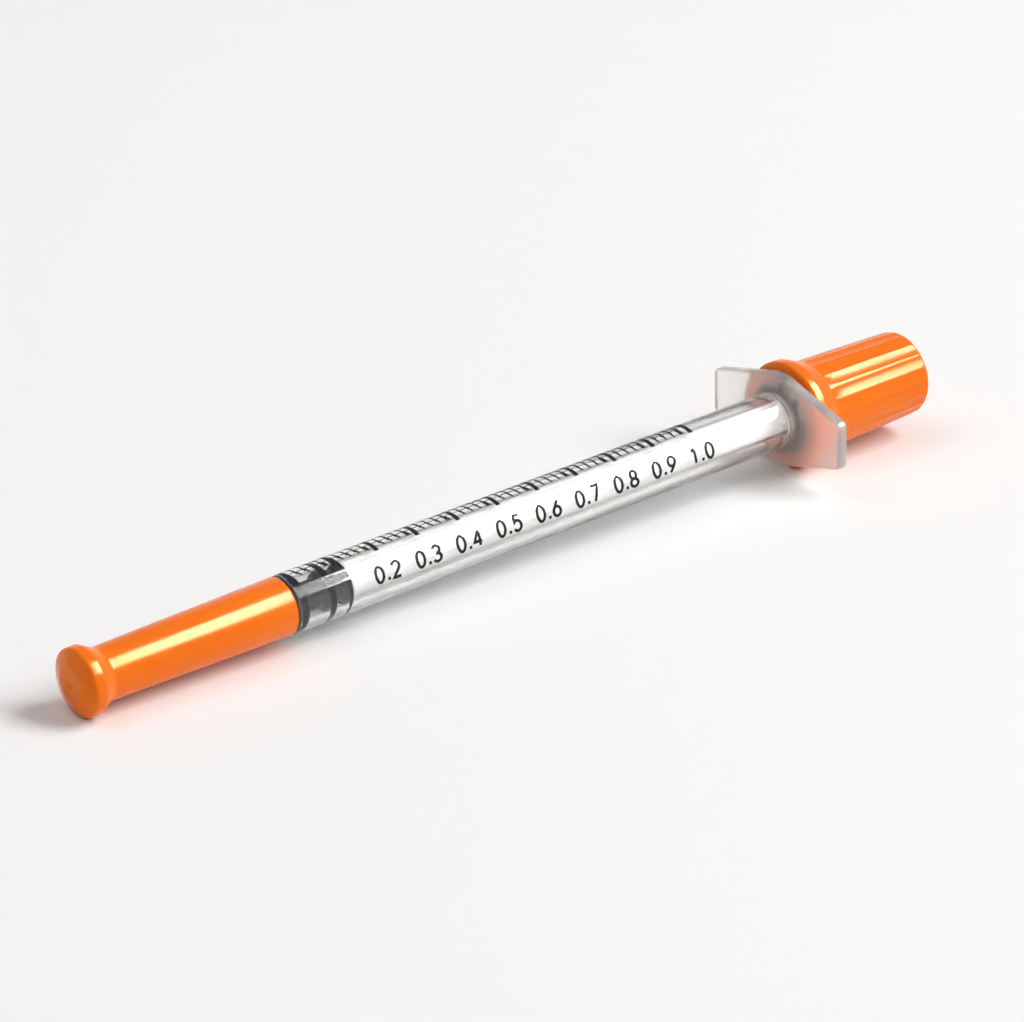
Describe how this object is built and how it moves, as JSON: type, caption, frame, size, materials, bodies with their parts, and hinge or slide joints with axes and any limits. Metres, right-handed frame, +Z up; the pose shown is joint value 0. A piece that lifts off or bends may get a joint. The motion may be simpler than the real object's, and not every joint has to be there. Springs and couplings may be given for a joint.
{
  "type": "insulin syringe",
  "caption": "Slim fixed-needle syringe with a clear graduated barrel, a black stopper, finger flange and orange caps over needle and plunger.",
  "frame": {"origin": "centre of the footprint, on the surface that the syringe lies on", "axes": "+X from the needle cap towards the plunger cap, +Y across, along the finger flange, +Z up"},
  "size_m": [0.1222, 0.022, 0.0132],
  "materials": {
    "clear_plastic": "clear, polished",
    "needle_steel": "drawn, siliconed",
    "adhesive": "cured, glossy",
    "black_rubber": "siliconed, semi-gloss",
    "milky_plastic": "milky, satin",
    "orange_plastic": "gloss, slightly translucent",
    "scale_ink": "printed ink"
  },
  "bodies": {
    "barrel": {"barrel": "clear_plastic", "needle": "needle_steel", "needle_adhesive": "adhesive"},
    "needle_cap": {"needle_cap": "orange_plastic"},
    "plunger": {"plunger_rod": "milky_plastic", "stopper": "black_rubber"},
    "plunger_cap": {"plunger_cap": "orange_plastic"}
  },
  "joints": [
    {"name": "needle_cap_pull", "type": "slide", "parent": "barrel", "child": "needle_cap", "axis": [-0.9997, 0, -0.0253], "range_m": [0, 0.03]},
    {"name": "plunger_slide", "type": "slide", "parent": "barrel", "child": "plunger", "axis": [0.9997, 0, 0.0253], "range_m": [0, 0.065]},
    {"name": "plunger_cap_pull", "type": "slide", "parent": "plunger", "child": "plunger_cap", "axis": [0.9997, 0, 0.0253], "range_m": [0, 0.02]}
  ]
}
